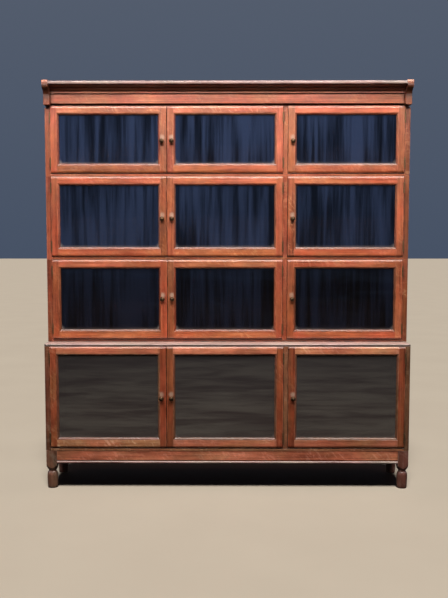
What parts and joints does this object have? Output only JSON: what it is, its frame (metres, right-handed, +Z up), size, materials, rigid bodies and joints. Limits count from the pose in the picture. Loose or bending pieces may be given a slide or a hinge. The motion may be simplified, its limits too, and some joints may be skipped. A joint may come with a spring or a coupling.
{
  "type": "sectional bookcase",
  "caption": "Tall stacked sectional bookcase: glazed side-hung oak doors, a deeper base section, turned feet and a cornice cap.",
  "frame": {"origin": "on the floor, below the middle of the overall box", "axes": "+X to the right seen from the front, +Y to the back (the doors face -Y), +Z up"},
  "size_m": [1.33, 0.3, 1.48],
  "materials": {
    "oak": "red-brown stained quarter-sawn oak, semi-gloss polish, worn edges",
    "back_panel": "dark stained matt panel",
    "glass": "old clear sheet glass, slightly wavy",
    "brass": "dark aged brass, rubbed bright on the high spots"
  },
  "bodies": {
    "case": {"tier1_side_left": "oak", "tier1_side_right": "oak", "tier1_shelf_frame": "oak", "tier1_back_panel": "back_panel", "tier2_side_left": "oak", "tier2_side_right": "oak", "tier2_shelf_frame": "oak", "tier2_back_panel": "back_panel", "tier3_side_left": "oak", "tier3_side_right": "oak", "tier3_shelf_frame": "oak", "tier3_back_panel": "back_panel", "base_side_left": "oak", "base_side_right": "oak", "base_shelf_frame": "oak", "base_back_panel": "back_panel", "cap_cornice": "oak", "cap_end_left": "oak", "cap_end_right": "oak", "stand_frame": "oak", "leg_front_left": "oak", "leg_front_right": "oak", "leg_back_left": "oak", "leg_back_right": "oak"},
    "tier1_door_left": {"tier1_door_left_frame": "oak", "tier1_door_left_glass": "glass", "tier1_door_left_knob": "brass"},
    "tier1_door_middle": {"tier1_door_middle_frame": "oak", "tier1_door_middle_glass": "glass", "tier1_door_middle_knob": "brass"},
    "tier1_door_right": {"tier1_door_right_frame": "oak", "tier1_door_right_glass": "glass", "tier1_door_right_knob": "brass"},
    "tier2_door_left": {"tier2_door_left_frame": "oak", "tier2_door_left_glass": "glass", "tier2_door_left_knob": "brass"},
    "tier2_door_middle": {"tier2_door_middle_frame": "oak", "tier2_door_middle_glass": "glass", "tier2_door_middle_knob": "brass"},
    "tier2_door_right": {"tier2_door_right_frame": "oak", "tier2_door_right_glass": "glass", "tier2_door_right_knob": "brass"},
    "tier3_door_left": {"tier3_door_left_frame": "oak", "tier3_door_left_glass": "glass", "tier3_door_left_knob": "brass"},
    "tier3_door_middle": {"tier3_door_middle_frame": "oak", "tier3_door_middle_glass": "glass", "tier3_door_middle_knob": "brass"},
    "tier3_door_right": {"tier3_door_right_frame": "oak", "tier3_door_right_glass": "glass", "tier3_door_right_knob": "brass"},
    "base_door_left": {"base_door_left_frame": "oak", "base_door_left_glass": "glass", "base_door_left_knob": "brass"},
    "base_door_middle": {"base_door_middle_frame": "oak", "base_door_middle_glass": "glass", "base_door_middle_knob": "brass"},
    "base_door_right": {"base_door_right_frame": "oak", "base_door_right_glass": "glass", "base_door_right_knob": "brass"}
  },
  "joints": [
    {"name": "tier1_door_left_hinge", "type": "hinge", "parent": "case", "child": "tier1_door_left", "pos_m": [-0.64475, -0.0555, 1.2735], "axis": [0, 0, -1], "range_deg": [0, 170]},
    {"name": "tier1_door_middle_hinge", "type": "hinge", "parent": "case", "child": "tier1_door_middle", "pos_m": [0.20342, -0.0555, 1.2735], "axis": [0, 0, 1], "range_deg": [0, 135]},
    {"name": "tier1_door_right_hinge", "type": "hinge", "parent": "case", "child": "tier1_door_right", "pos_m": [0.64475, -0.0555, 1.2735], "axis": [0, 0, 1], "range_deg": [0, 170]},
    {"name": "tier2_door_left_hinge", "type": "hinge", "parent": "case", "child": "tier2_door_left", "pos_m": [-0.64475, -0.0555, 0.99475], "axis": [0, 0, -1], "range_deg": [0, 170]},
    {"name": "tier2_door_middle_hinge", "type": "hinge", "parent": "case", "child": "tier2_door_middle", "pos_m": [0.20342, -0.0555, 0.99475], "axis": [0, 0, 1], "range_deg": [0, 135]},
    {"name": "tier2_door_right_hinge", "type": "hinge", "parent": "case", "child": "tier2_door_right", "pos_m": [0.64475, -0.0555, 0.99475], "axis": [0, 0, 1], "range_deg": [0, 170]},
    {"name": "tier3_door_left_hinge", "type": "hinge", "parent": "case", "child": "tier3_door_left", "pos_m": [-0.64475, -0.0555, 0.69075], "axis": [0, 0, -1], "range_deg": [0, 170]},
    {"name": "tier3_door_middle_hinge", "type": "hinge", "parent": "case", "child": "tier3_door_middle", "pos_m": [0.20342, -0.0555, 0.69075], "axis": [0, 0, 1], "range_deg": [0, 135]},
    {"name": "tier3_door_right_hinge", "type": "hinge", "parent": "case", "child": "tier3_door_right", "pos_m": [0.64475, -0.0555, 0.69075], "axis": [0, 0, 1], "range_deg": [0, 170]},
    {"name": "base_door_left_hinge", "type": "hinge", "parent": "case", "child": "base_door_left", "pos_m": [-0.64475, -0.1305, 0.3376], "axis": [0, 0, -1], "range_deg": [0, 170]},
    {"name": "base_door_middle_hinge", "type": "hinge", "parent": "case", "child": "base_door_middle", "pos_m": [0.20342, -0.1305, 0.3376], "axis": [0, 0, 1], "range_deg": [0, 135]},
    {"name": "base_door_right_hinge", "type": "hinge", "parent": "case", "child": "base_door_right", "pos_m": [0.64475, -0.1305, 0.3376], "axis": [0, 0, 1], "range_deg": [0, 170]}
  ]
}
